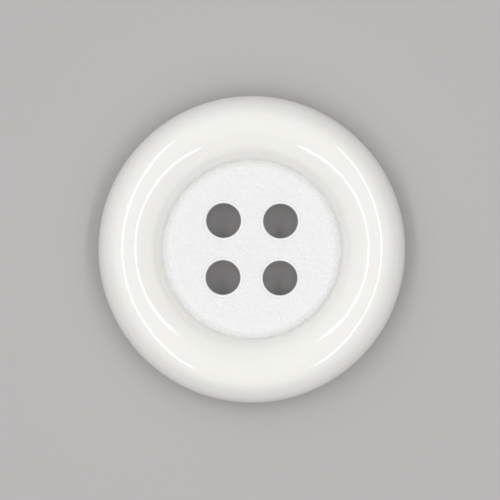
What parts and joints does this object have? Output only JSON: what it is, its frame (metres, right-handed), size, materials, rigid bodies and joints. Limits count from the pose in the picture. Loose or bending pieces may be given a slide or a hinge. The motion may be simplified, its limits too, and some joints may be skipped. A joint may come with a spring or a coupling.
{
  "type": "sew on button",
  "caption": "Round sew-on button with a polished, full-round raised rim and a matt, sunken centre plate pierced by a square of thread holes.",
  "frame": {"origin": "middle of the flat back, on the button's axis", "axes": "+Z out of the button's face, away from the cloth; +X and +Y along the sides of the square of thread holes"},
  "size_m": [0.0254, 0.0254, 0.0045],
  "materials": {
    "gloss_rim": "polished",
    "matt_centre": "fine frosted"
  },
  "bodies": {
    "root": {"outer_rim": "gloss_rim", "centre_insert": "matt_centre"}
  },
  "joints": []
}
